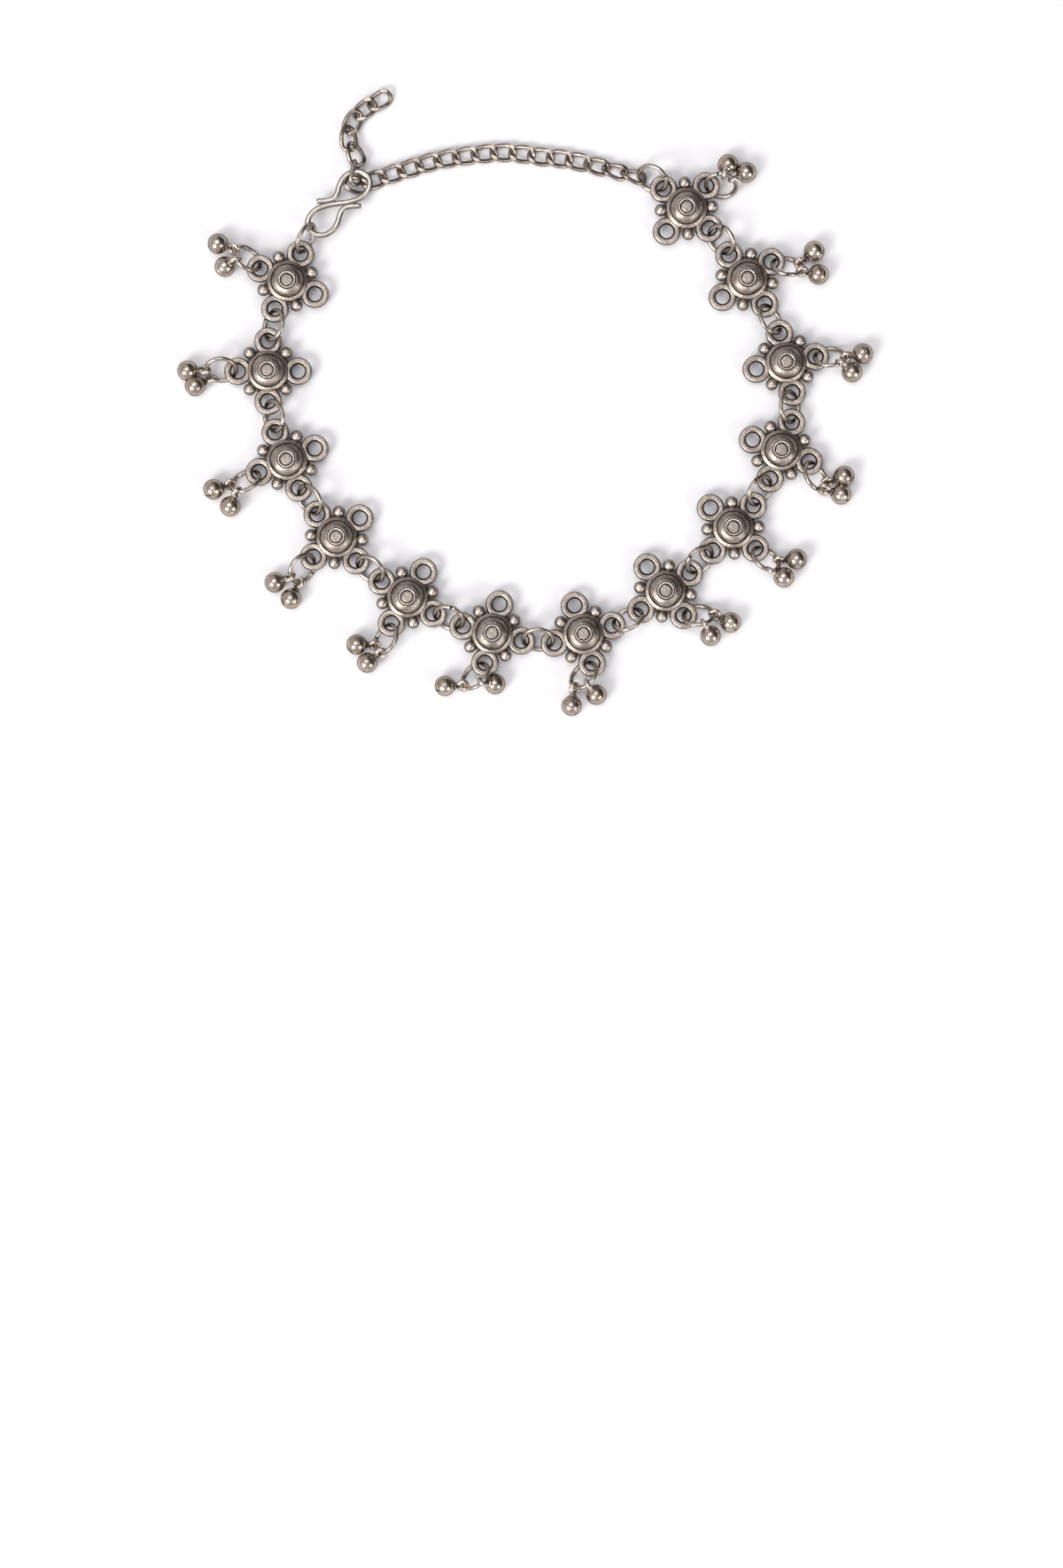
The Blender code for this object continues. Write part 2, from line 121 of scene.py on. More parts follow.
# The hook's middle line from its middle to one end. The other half is the same, turned round
HOOK_HALF = (
    (0.00000, 0.00000),
    (0.00150, 0.00022),
    (0.00300, 0.00062),
    (0.00435, 0.00135),
    (0.00525, 0.00260),
    (0.00540, 0.00390),
    (0.00485, 0.00492),
    (0.00362, 0.00550),
    (0.00222, 0.00540),
    (0.00090, 0.00452),
    (0.00014, 0.00315),
    (-0.00024, 0.00185),
    (-0.00090, 0.00085),
    (-0.00212, 0.00047),
    (-0.00391, 0.00040),
)
# Where the lower bow holds its ring, from the hook's middle
HOOK_GRIP = (-0.00485, -0.00492)
HOOK_RING_HEADING = 63
# The chain's run, along and aside, as shares of its length
CHAIN_ROUTE = (
    (0.0, 0.0),
    (0.215, -0.061),
    (0.367, -0.083),
    (0.512, -0.099),
    (0.731, -0.076),
    (0.873, -0.039),
    (1.0, 0.0),
)
# Links and tail, from the hook's middle
LAST_LINK = (0.00610, 0.00430)
EYE_LINK = (0.00305, 0.00345)
EYE_LINK_HEADING = 164
HOOK_LINK = (0.00290, 0.00535)
HOOK_LINK_HEADING = 92
HOOK_LINK_DROP = 0.00022
TAIL_ROUTE = (
    (0.00285, 0.00865),
    (0.00172, 0.01110),
    (0.00220, 0.01400),
    (0.00420, 0.01640),
    (0.00707, 0.01820),
)
# Where each jump ring is cut, in degrees round it
RING_CUTS = (250, 40, 150, 305, 95, 200, 20, 110, 70, 160, 230, 60, 130)
HOOK_RING_CUT = 215
DROP_CUT, DROP_CUT_STEP = 170, 23
CUT_WIDTH = 0.00006
CUT_SPRING = 0.00007

# The camera, the floor and the room
PIXEL = 0.000155
PHOTO_ROWS = 1770
SENSOR = 36.0
CAMERA_PLACE = (0.00114, -0.06655, 0.62)
FLOOR_HALF = 3.0
LIGHTS_AIM = Vector((0.0, -0.02, 0.0))
DARK_SIDE = (0.86, 0.45, 0.0)


def make_camera():
    """Straight down, with the photograph's whole frame: 1200 by 1770 pixels of 0.155 mm."""
    data = bpy.data.cameras.new("camera")
    data.sensor_width = SENSOR
    data.lens = SENSOR * CAMERA_PLACE[2] / (PHOTO_ROWS * PIXEL)
    camera = bpy.data.objects.new("camera", data)
    camera.location = CAMERA_PLACE
    camera.rotation_euler = (0.0, 0.0, 0.0)
    bpy.context.scene.collection.objects.link(camera)
    bpy.context.scene.camera = camera


def area_light(name, azimuth, slant, distance, size, power, colour):
    """A soft box that looks at the anklet, azimuth counted from +X, slant from straight above."""
    a, s = math.radians(azimuth), math.radians(slant)
    way = Vector((math.cos(a) * math.sin(s), math.sin(a) * math.sin(s), math.cos(s)))
    data = bpy.data.lights.new(name, "AREA")
    data.shape = "RECTANGLE"
    data.size = size[0]
    data.size_y = size[1]
    data.energy = power
    data.color = colour
    light = bpy.data.objects.new(name, data)
    light.location = LIGHTS_AIM + way * distance
    light.rotation_euler = (-way).to_track_quat("-Z", "Y").to_euler()
    bpy.context.scene.collection.objects.link(light)


def shade_world(tree, back):
    """The room is pale all round, and darker low down on the far right."""
    coords = tree.nodes.new("ShaderNodeTexCoord")
    facing = tree.nodes.new("ShaderNodeVectorMath")
    facing.operation = "DOT_PRODUCT"
    facing.inputs[1].default_value = DARK_SIDE
    strength = tree.nodes.new("ShaderNodeMapRange")
    strength.interpolation_type = "SMOOTHSTEP"
    strength.inputs["From Min"].default_value = 0.05
    strength.inputs["From Max"].default_value = 0.75
    strength.inputs["To Min"].default_value = 0.64
    strength.inputs["To Max"].default_value = 0.07
    tree.links.new(coords.outputs["Generated"], facing.inputs[0])
    tree.links.new(facing.outputs["Value"], strength.inputs["Value"])
    tree.links.new(strength.outputs["Result"], back.inputs["Strength"])


def make_stage():
    """The plain pale floor, the room and three soft lights."""
    mesh = bpy.data.meshes.new("floor")
    ways = ((-1, -1), (1, -1), (1, 1), (-1, 1))
    corners = [(x * FLOOR_HALF, y * FLOOR_HALF, 0) for x, y in ways]
    mesh.from_pydata(corners, [], [(0, 1, 2, 3)])
    floor = bpy.data.objects.new("floor", mesh)
    bpy.context.scene.collection.objects.link(floor)
    material = bpy.data.materials.new("floor")
    material.use_nodes = True
    shader = material.node_tree.nodes["Principled BSDF"]
    shader.inputs["Base Color"].default_value = (0.955, 0.955, 0.96, 1)
    shader.inputs["Roughness"].default_value = 0.75
    shader.inputs["Specular IOR Level"].default_value = 0.2
    mesh.materials.append(material)
    world = bpy.data.worlds.new("world")
    world.use_nodes = True
    back = world.node_tree.nodes["Background"]
    back.inputs["Color"].default_value = (0.965, 0.935, 1.0, 1)
    bpy.context.scene.world = world
    shade_world(world.node_tree, back)
    bpy.context.scene.view_settings.view_transform = "Standard"
    area_light("key", 223, 49, 2.6, (1.1, 1.1), 39.0, (1.0, 0.985, 0.96))
    area_light("second", 322, 58, 2.6, (1.0, 1.0), 15.0, (1.0, 0.99, 0.97))
    area_light("top", 120, 15, 1.8, (1.2, 0.9), 7.5, (0.98, 0.985, 1.0))


class Graph:
    """A short way to wire a material's nodes."""

    def __init__(self, name):
        self.material = bpy.data.materials.new(name)
        self.material.use_nodes = True
        self.tree = self.material.node_tree
        self.shader = self.tree.nodes["Principled BSDF"]
        coords = self.tree.nodes.new("ShaderNodeTexCoord")
        self.place = coords.outputs["Object"]

    def feed(self, value, socket):
        """An output is linked to the socket, and a number or a colour is set on it."""
        if isinstance(value, bpy.types.NodeSocket):
            self.tree.links.new(value, socket)
        else:
            socket.default_value = value

    def node(self, kind, **inputs):
        made = self.tree.nodes.new(kind)
        for name, value in inputs.items():
            self.feed(value, made.inputs[name])
        return made

    def attribute(self, name):
        made = self.tree.nodes.new("ShaderNodeAttribute")
        made.attribute_name = name
        return made.outputs["Fac"]

    def noise(self, scale, detail, rough, stretch=None):
        place = self.place
        if stretch:
            place = self.node("ShaderNodeMapping", Vector=place, Scale=stretch).outputs["Vector"]
        made = self.node(
            "ShaderNodeTexNoise", Vector=place, Scale=scale, Detail=detail, Roughness=rough
        )
        return made.outputs["Fac"]

    def ramp(self, value, low, high, to_low=0.0, to_high=1.0):
        ends = {"From Min": low, "From Max": high, "To Min": to_low, "To Max": to_high}
        return self.node("ShaderNodeMapRange", Value=value, **ends).outputs["Result"]

    def math(self, kind, a, b=0.0):
        made = self.tree.nodes.new("ShaderNodeMath")
        made.operation = kind
        for socket, value in zip(made.inputs, (a, b)):
            self.feed(value, socket)
        return made.outputs["Value"]

    def mix(self, share, a, b):
        """a and b are outputs or colours of three numbers."""
        made = self.tree.nodes.new("ShaderNodeMix")
        made.data_type = "RGBA"
        self.feed(share, made.inputs["Factor"])
        for socket, value in ((made.inputs[6], a), (made.inputs[7], b)):
            linked = isinstance(value, bpy.types.NodeSocket)
            self.feed(value if linked else (*value, 1.0), socket)
        return made.outputs[2]

    def bump(self, height, distance, strength, after=None):
        made = self.node("ShaderNodeBump", Height=height, Distance=distance, Strength=strength)
        if after is not None:
            self.feed(after, made.inputs["Normal"])
        return made.outputs["Normal"]

    def done(self, normal):
        self.feed(normal, self.shader.inputs["Normal"])
        return self.material


def metal(name, clean, tarnish, dirt_colour, rough, spots, grain):
    """A worn metal: tarnished in blotches and mottled, lighter where it is rubbed and where
    highlights are painted, near black where shade is painted in recesses, grooves and gaps.
    """
    g = Graph(name)
    dirt = g.attribute("dirt")
    wear = g.attribute("wear")
    blotch = g.ramp(g.noise(spots, 5.0, 0.6), 0.38, 0.66)
    fine = g.noise(grain, 6.0, 0.65)
    colour = g.mix(blotch, clean, tarnish)
    speckle = g.ramp(fine, 0.35, 0.75, 0.0, 0.45)
    colour = g.mix(speckle, colour, tarnish)
    # lighter where rubbed; the same mark paints highlight lines on ridges and on the tops of
    # granules and wire
    rubbed_and_highlight = [min(1.0, c * 1.25 + 0.06) for c in clean]
    colour = g.mix(wear, colour, rubbed_and_highlight)
    # painted shade: near black, rougher and less metallic in recesses, grooves and gaps, broken up
    # by fine noise; a faint mark gives mottled tarnish instead
    edge = g.math("ADD", dirt, g.math("MULTIPLY", g.math("SUBTRACT", fine, 0.5), 0.9))
    dark = g.math("MULTIPLY", g.ramp(edge, 0.32, 0.72), g.ramp(dirt, 0.02, 0.15))
    colour = g.mix(dark, colour, dirt_colour)
    g.feed(colour, g.shader.inputs["Base Color"])
    blotch_rough = g.ramp(blotch, 0, 1, rough, rough + 0.10)
    roughness = g.math("ADD", blotch_rough, g.ramp(dark, 0, 1, 0, 0.40))
    roughness = g.math("SUBTRACT", roughness, g.math("MULTIPLY", wear, 0.08))
    g.feed(roughness, g.shader.inputs["Roughness"])
    g.feed(g.ramp(dark, 0, 1, 1.0, 0.35), g.shader.inputs["Metallic"])
    g.shader.inputs["Specular Tint"].default_value = (0.14, 0.12, 0.11, 1.0)
    return g, fine


def antique_silver():
    """Cast silver: scratched one way, pitted, and rugged in its rough places."""
    g, fine = metal(
        "antique_silver",
        (0.485, 0.425, 0.368),
        (0.285, 0.238, 0.20),
        (0.022, 0.016, 0.014),
        0.25,
        620.0,
        2600.0,
    )
    scratch = g.noise(900.0, 3.0, 0.6, (1.0, 7.0, 1.0))
    normal = g.bump(scratch, 0.00006, 0.9)
    normal = g.bump(g.noise(750.0, 3.0, 0.6), 0.00009, 0.8, normal)
    normal = g.bump(fine, 0.00006, 0.9, normal)
    rugged = g.math("MULTIPLY", g.noise(1500.0, 4.0, 0.6), g.attribute("rough_cast"))
    normal = g.bump(rugged, 0.00022, 1.0, normal)
    return g.done(normal)


def bright_wire():
    g, fine = metal(
        "bright_wire",
        (0.52, 0.47, 0.41),
        (0.33, 0.285, 0.235),
        (0.04, 0.032, 0.025),
        0.20,
        500.0,
        1800.0,
    )
    return g.done(g.bump(fine, 0.00003, 0.5))


def polished_nickel():
    """Bright bell metal with a fine seam round the middle of each bell."""
    g, fine = metal(
        "polished_nickel",
        (0.60, 0.52, 0.445),
        (0.41, 0.345, 0.285),
        (0.03, 0.022, 0.017),
        0.16,
        520.0,
        2200.0,
    )
    seam = g.math("ABSOLUTE", g.attribute("bell_z"))
    ridge = g.ramp(seam, 0.0, 0.035)
    normal = g.bump(fine, 0.00003, 0.5)
    return g.done(g.bump(ridge, 0.00005, 0.6, normal))


def brown_nickel():
    g, fine = metal(
        "brown_nickel",
        (0.42, 0.36, 0.31),
        (0.23, 0.185, 0.15),
        (0.022, 0.015, 0.011),
        0.20,
        700.0,
        2400.0,
    )
    return g.done(g.bump(fine, 0.00004, 0.6))


def pale_wire():
    """The hook's dull wire, with faint drawing lines."""
    g, fine = metal(
        "pale_wire",
        (0.38, 0.35, 0.31),
        (0.25, 0.22, 0.19),
        (0.04, 0.032, 0.025),
        0.24,
        450.0,
        1800.0,
    )
    draw = g.noise(700.0, 3.0, 0.6, (1.0, 5.0, 1.0))
    normal = g.bump(draw, 0.00003, 0.6)
    return g.done(g.bump(fine, 0.00003, 0.5, normal))


class Shape:
    """Points, faces and the marks for painted shade with grime and for wear with painted
    highlights, gathered for one mesh.
    """

    MARKS = ("dirt", "wear", "rough_cast", "bell_z")

    def __init__(self):
        self.points = []
        self.faces = []
        self.slots = []
        self.marks = {name: [] for name in self.MARKS}
        self.count = 0

    def grid(self, rows, closed_rows, closed_round, slot=0, caps=False, **marks):
        """rows is an array of rings of points; neighbours are joined by quads."""
        rows = np.asarray(rows, float)
        n, m = rows.shape[:2]
        start = self.count
        self.points.append(rows.reshape(-1, 3))
        self.count += n * m
        for name in self.MARKS:
            value = np.broadcast_to(marks.get(name, 0.0), (n, m)).reshape(-1)
            self.marks[name].append(value)
        for i in range(n if closed_rows else n - 1):
            a = start + i * m
            b = start + ((i + 1) % n) * m
            for j in range(m if closed_round else m - 1):
                k = (j + 1) % m
                self.faces.append((a + j, a + k, b + k, b + j))
                self.slots.append(slot)
        if caps:
            self.faces.append(tuple(reversed(range(start, start + m))))
            self.faces.append(tuple(range(start + (n - 1) * m, start + n * m)))
            self.slots += [slot, slot]

    def add(self, other, matrix, slot=None):
        turn = np.array(matrix.to_3x3())
        shift = np.array(matrix.translation)
        for block in other.points:
            self.points.append(block @ turn.T + shift)
        self.faces += [tuple(v + self.count for v in face) for face in other.faces]
        self.slots += other.slots if slot is None else [slot] * len(other.slots)
        for name in self.MARKS:
            self.marks[name] += other.marks[name]
        self.count += other.count

    def rest(self):
        """Pieces modelled in their place keep above the surface."""
        for block in self.points:
            block[:, 2] = np.maximum(block[:, 2], RING_WIRE_R - RING_SKIN_R)

    def mesh(self, name, materials, sharp=50):
        mesh = bpy.data.meshes.new(name)
        mesh.from_pydata(np.concatenate(self.points).tolist(), [], self.faces)
        for material in materials:
            mesh.materials.append(material)
        mesh.polygons.foreach_set("material_index", self.slots)
        for mark in self.MARKS:
            made = mesh.attributes.new(mark, "FLOAT", "POINT")
            made.data.foreach_set("value", np.concatenate(self.marks[mark]).astype(np.float32))
        mesh.validate()
        work = bmesh.new()
        work.from_mesh(mesh)
        bmesh.ops.recalc_face_normals(work, faces=work.faces)
        work.to_mesh(mesh)
        work.free()
        mesh.shade_smooth()
        mesh.set_sharp_from_angle(angle=math.radians(sharp))
        return mesh


def lathe(profile, sides, marks):
    """profile: rows of (radius, height); marks: rows of the same length for each mark."""
    around = circle(sides)
    profile = np.asarray(profile, float)
    rows = np.zeros((len(profile), sides, 3))
    rows[:, :, 0] = profile[:, :1] * np.cos(around)
    rows[:, :, 1] = profile[:, :1] * np.sin(around)
    rows[:, :, 2] = profile[:, 1:2]
    shape = Shape()
    shape.grid(rows, False, True, **{k: np.asarray(v, float)[:, None] for k, v in marks.items()})
    return shape


def wire_rows(centres, ups, section, closed):
    """A wire along the centres. section is rows of (aside, up), or one such table per centre."""
    centres = np.asarray(centres, float)
    ups = np.broadcast_to(np.asarray(ups, float), centres.shape)
    if closed:
        run = np.roll(centres, -1, 0) - np.roll(centres, 1, 0)
    else:
        run = np.gradient(centres, axis=0)
    run /= np.linalg.norm(run, axis=1)[:, None]
    aside = np.cross(run, ups)
    aside /= np.linalg.norm(aside, axis=1)[:, None]
    rise = np.cross(aside, run)
    section = np.asarray(section, float)
    if section.ndim == 2:
        section = np.broadcast_to(section, (len(centres), *section.shape))
    return (
        centres[:, None, :]
        + aside[:, None, :] * section[:, :, :1]
        + rise[:, None, :] * section[:, :, 1:2]
    )


def sweep(shape, centres, ups, section, closed, slot=0, **marks):
    rows = wire_rows(centres, ups, section, closed)
    shape.grid(rows, closed, True, slot, caps=not closed, **marks)


def circle(steps):
    return np.linspace(0, 2 * np.pi, steps, endpoint=False)


def round_section(radius, sides=14):
    a = circle(sides)
    return np.stack([np.cos(a) * radius, np.sin(a) * radius], 1)


def squared(a, power):
    """Cosine and sine for an oval that is a little squarer than an ellipse."""
    c, s = np.cos(a), np.sin(a)
    return np.sign(c) * np.abs(c) ** power, np.sign(s) * np.abs(s) ** power


def smooth(points, samples):
    """A smooth curve through the points, as in the part's source."""
    points = [np.asarray(p, float) for p in points]
    ends = [points[0] * 2 - points[1], *points, points[-1] * 2 - points[-2]]
    curve = []
    for i in range(1, len(ends) - 2):
        before, start, end, after = ends[i - 1:i + 3]
        for step in range(samples):
            t = step / samples
            bend = before * -1 + start * 3 - end * 3 + after
            pull = before * 2 - start * 5 + end * 4 - after
            curve.append((start * 2 + (end - before) * t + pull * t * t + bend * t**3) / 2)
    curve.append(points[-1])
    return np.array(curve)


def even(curve, pitch=None, count=None):
    """Points in even steps along the curve: about one pitch each, or the count of steps."""
    lengths = np.linalg.norm(np.diff(curve, axis=0), axis=1)
    walked = np.concatenate([[0], np.cumsum(lengths)])
    if count is None:
        count = max(1, round(walked[-1] / pitch))
    goals = np.linspace(0, walked[-1], count + 1)
    return np.stack([np.interp(goals, walked, curve[:, k]) for k in range(curve.shape[1])], 1)


def show(name, mesh, matrix, slot, *nodes):
    """One piece of the anklet, which stands for those nodes."""
    obj = bpy.data.objects.new(name, mesh)
    obj.matrix_world = matrix
    bpy.context.scene.collection.objects.link(obj)
    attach(obj, "root")
    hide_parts(*nodes)


# radius and height above the back in mm, painted shade, wear with painted highlights, and rough
# casting of the dome, from back to top
# The painted shade is a painted shadow on the plate's rim between loops and granules, and a dark
# band at the dome's foot, in the groove and on both sides of the raised ring; the faint mark on the
# middle disc is mottled tarnish. The painted highlights are lines along the skirt's edge, beside
# the groove and on the raised ring.
DOME = (
    (0.00, 0.00, 0, 0, 0),
    (3.60, 0.00, 0, 0, 0),
    (4.02, 0.05, 0.8, 0, 0),
    (4.06, 0.36, 0.8, 0, 0.3),
    (3.94, 0.52, 0.5, 0, 0.8),
    (3.72, 0.62, 0.6, 0, 0.8),
    (3.60, 0.69, 1.0, 0, 0.4),
    (3.56, 0.78, 0.7, 0, 0.2),
    (3.56, 0.92, 0.3, 0, 0),
    (3.55, 1.02, 0, 0.3, 0),
    (3.49, 1.11, 0, 0.5, 0),
    (3.38, 1.18, 0, 0.1, 0),
    (3.22, 1.26, 0, 0, 0),
    (3.06, 1.34, 0, 0.3, 0),
    (2.98, 1.38, 0.2, 0.3, 0),
    (2.94, 1.35, 1.0, 0, 0),
    (2.87, 1.36, 1.0, 0, 0),
    (2.82, 1.44, 0.9, 0, 0),
    (2.80, 1.56, 0.1, 0.6, 0),
    (2.74, 1.72, 0, 0.3, 0),
    (2.62, 1.90, 0, 0.1, 0),
    (2.45, 2.08, 0, 0, 0),
    (2.24, 2.24, 0, 0, 0),
    (2.00, 2.38, 0, 0, 0),
    (1.76, 2.49, 0, 0, 0),
    (1.66, 2.53, 0.1, 0, 0),
    (1.60, 2.52, 1.0, 0, 0),
    (1.50, 2.54, 1.0, 0, 0),
    (1.46, 2.65, 0.3, 0.4, 0),
    (1.42, 2.75, 0, 1.0, 0),
    (1.30, 2.78, 0, 1.0, 0),
    (1.22, 2.75, 0, 0.6, 0),
    (1.18, 2.64, 0.95, 0, 0.2),
    (1.08, 2.58, 1.0, 0, 0.4),
    (1.00, 2.60, 0.5, 0, 0.6),
    (0.80, 2.63, 0.12, 0, 1.0),
    (0.50, 2.64, 0.12, 0, 1.0),
    (0.25, 2.65, 0.12, 0, 1.0),
    (0.00, 2.65, 0.12, 0, 1.0),
)
# aside from the band's middle line (out is positive) and height in mm, painted shade down the
# hole's wall and round the outer foot, wear with painted highlight lines on the band's two
# shoulders
LOOP = (
    (-0.590, 0.00, 0.7, 0),
    (-0.610, 0.12, 1.0, 0),
    (-0.605, 0.42, 1.0, 0),
    (-0.570, 0.53, 1.0, 0),
    (-0.500, 0.58, 1.0, 0),
    (-0.425, 0.60, 1.0, 0),
    (-0.385, 0.65, 0.7, 0),
    (-0.345, 0.71, 0.2, 0.1),
    (-0.270, 0.76, 0, 0.5),
    (-0.120, 0.79, 0, 0.1),
    (0.050, 0.80, 0, 0),
    (0.220, 0.81, 0, 0.1),
    (0.340, 0.80, 0, 0.6),
    (0.450, 0.72, 0, 0.2),
    (0.550, 0.57, 0.4, 0),
    (0.615, 0.34, 0.85, 0),
    (0.630, 0.15, 0.9, 0),
    (0.600, 0.00, 0.9, 0),
)
# radius and height above the back in mm, painted shade round the foot, wear with a painted
# highlight on the top
GRANULE = (
    (0.88, 0.00, 1.0, 0),
    (1.00, 0.15, 1.0, 0),
    (1.06, 0.40, 0.95, 0),
    (1.04, 0.66, 0.6, 0),
    (0.95, 0.92, 0.2, 0),
    (0.79, 1.14, 0, 0.1),
    (0.57, 1.31, 0, 0.5),
    (0.29, 1.41, 0, 0.8),
    (0.00, 1.44, 0, 0.9),
)
# radius and height over the bell's middle in mm, painted shade (darkest where it meets the bell),
# wear with a painted highlight on the collar, of the neck between bell and eye
NECK = (
    (0.74, 1.60, 1.0, 0),
    (0.74, 1.76, 0.8, 0),
    (0.62, 1.87, 0.2, 0.5),
    (0.44, 1.94, 0.4, 0),
    (0.38, 2.03, 0.7, 0),
    (0.38, 2.16, 0.8, 0),
    (0.28, 2.34, 0.6, 0),
    (0.00, 2.36, 0.5, 0),
)
# The bell as shares of its radius: its seam's points, half its slit, the lips beside it, the
# slit's bottom. The two reaches are counted round the bell from its lowest point
SEAM = (-0.105, -0.085, -0.078, -0.04, 0.0, 0.04, 0.078, 0.085, 0.105)
SEAM_ANGLE = 0.12
SLIT_HALF, SLIT_REACH = 0.08, math.radians(62)
LIP_HALF, LIP_REACH = 0.09, math.radians(66)
SLIT_BOTTOM = 0.84
# The link's steps round, its wire's sides, how square its oval is, how far it is left unground
LINK_STEPS, LINK_SIDES = 52, 16
LINK_SQUARENESS = 0.86
LINK_FLAT = 0.00060
HOOK_STEPS, HOOK_SIDES = 190, 16
HOOK_SQUARENESS = 0.7
HOOK_TIP = (0.78, 0.94, 0.99)


def columns(table):
    data = np.array(table, float)
    return data[:, :2] * MM, data[:, 2:].T


def rosette_shape():
    """One casting: the dome, four ring-shaped loops and four granules between them."""
    profile, (dirt, wear, cast) = columns(DOME)
    whole = lathe(profile, 72, {"dirt": dirt, "wear": wear, "rough_cast": cast})
    section, (dirt, wear) = columns(LOOP)
    middle = LOOP_HOLE_R + LOOP_BAND_W / 2
    a = circle(44)
    route = np.stack([np.cos(a) * middle, np.sin(a) * middle, a * 0], 1)
    loop = Shape()
    sweep(loop, route, (0, 0, 1), section, True, dirt=dirt[None, :], wear=wear[None, :])
    profile, (dirt, wear) = columns(GRANULE)
    granule = lathe(profile, 24, {"dirt": dirt, "wear": wear})
    for k in range(4):
        turn = Matrix.Rotation(math.pi / 2 * k, 4, "Z")
        whole.add(loop, turn @ Matrix.Translation((LOOP_REACH, 0, 0)))
        half = Matrix.Rotation(math.pi / 2 * (k + 0.5), 4, "Z")
        whole.add(granule, half @ Matrix.Translation((GRANULE_REACH, 0, 0)))
    return whole


def heading(degrees):
    """The way at that angle from +X, and the way to its left."""
    a = math.radians(degrees)
    return Vector((math.cos(a), math.sin(a), 0)), Vector((-math.sin(a), math.cos(a), 0))


class RingPose:
    """Where one leaning jump ring lies, as in the part's source."""

    def __init__(self, start, degrees, side, lean):
        self.ahead, left = heading(degrees)
        self.lean = lean
        self.rise = left * side * math.cos(lean) + Vector((0, 0, math.sin(lean)))
        self.centre_z = RING_WIRE_R + RING_MID_R * math.sin(lean)
        self.centre = Vector((0, 0, self.centre_z))
        near = self.crossing(LOOP_Z, -1)
        self.centre += Vector((start.x, start.y, 0)) - Vector((near.x, near.y, 0))

    def point(self, angle):
        way = self.ahead * math.cos(angle) + self.rise * math.sin(angle)
        return self.centre + way * RING_MID_R

    def crossing(self, z, end):
        """Where the ring's wire is at that height, at its far end (1) or its near one (-1)."""
        angle = math.asin((z - self.centre_z) / (RING_MID_R * math.sin(self.lean)))
        return self.point(angle if end > 0 else math.pi - angle)

    def matrix(self):
        normal = self.ahead.cross(self.rise)
        turn = Matrix((self.ahead, self.rise, normal)).transposed().to_4x4()
        return Matrix.Translation(self.centre) @ turn


def ring_shape(cut):
    """A jump ring, its ends meeting at a thin cut this far round, in degrees."""
    steps = 72
    gap = CUT_WIDTH / RING_MID_R
    a = np.linspace(gap / 2, 2 * np.pi - gap / 2, steps) + math.radians(cut)
    route = np.stack([np.cos(a) * RING_MID_R, np.sin(a) * RING_MID_R, a * 0], 1)
    route[:6, 2] += np.linspace(CUT_SPRING, 0, 6)
    route[-6:, 2] -= np.linspace(0, CUT_SPRING, 6)
    # darker at the two cut ends, so that the cut shows as a dark line
    ends = np.zeros(steps)
    ends[[0, -1]] = 0.9
    ends[[1, -2]] = 0.35
    taper = np.ones(steps)
    taper[[0, -1]] = 0.93
    section = round_section(RING_SKIN_R)[None] * taper[:, None, None]
    shape = Shape()
    sweep(shape, route, (0, 0, 1), section, False, dirt=ends[:, None], wear=0.15)
    return shape


def bell_shape():
    """A ghungroo: a ball turned about X, so that its slit opposite the eye has clean edges."""
    steps = 72
    side = np.cos((np.pi / 2 - SEAM_ANGLE) * np.linspace(0, 1, 14)[:-1])
    other_side = np.cos((np.pi / 2 - SEAM_ANGLE) * np.linspace(1, 0, 14)[1:])
    across = np.concatenate([-side, SEAM, other_side])
    a = circle(steps)
    from_bottom = np.abs(np.angle(np.exp(1j * (a + np.pi / 2))))
    radius = np.sqrt(np.clip(1 - across**2, 0, 1))
    rows = np.zeros((len(across), steps, 3))
    rows[:, :, 0] = across[:, None]
    rows[:, :, 1] = radius[:, None] * np.cos(a)
    rows[:, :, 2] = radius[:, None] * np.sin(a)
    slit = (np.abs(across)[:, None] < SLIT_HALF) & (from_bottom[None, :] < SLIT_REACH)
    rows[slit] *= SLIT_BOTTOM
    lip = (np.abs(across)[:, None] < LIP_HALF) & (from_bottom[None, :] < LIP_REACH) & ~slit
    upness = rows[:, :, 2] / np.linalg.norm(rows, axis=2)
    from_top = np.degrees(np.arccos(np.clip(upness, -1, 1)))
    # painted shade in the slit, standing for the hollow inside, and on the ball close round the
    # neck's foot
    dirt = np.maximum(np.where(slit, 1.0, 0.0), np.clip((20 - from_top) / 8, 0, 0.7))
    shape = Shape()
    shape.grid(
        rows * BELL_R, False, True, 1, caps=True,
        dirt=dirt, wear=np.where(lip, 0.5, 0.0), bell_z=rows[:, :, 2],
    )
    profile, (dirt, wear) = columns(NECK)
    shape.add(lathe(profile, 20, {"dirt": dirt, "wear": wear}), Matrix.Identity(4), 1)
    eye_mid = EYE_HOLE_R + EYE_WIRE_R
    a = circle(36)
    route = np.stack([np.cos(a) * eye_mid, a * 0, EYE_REACH + np.sin(a) * eye_mid], 1)
    # painted shade where the eye's foot meets the neck
    foot = np.clip((-np.sin(a) - 0.75) / 0.3, 0, 0.7)
    section = round_section(EYE_SKIN_R, 12)
    sweep(shape, route, (0, 1, 0), section, True, 1, dirt=foot[:, None], wear=0.7)
    return shape


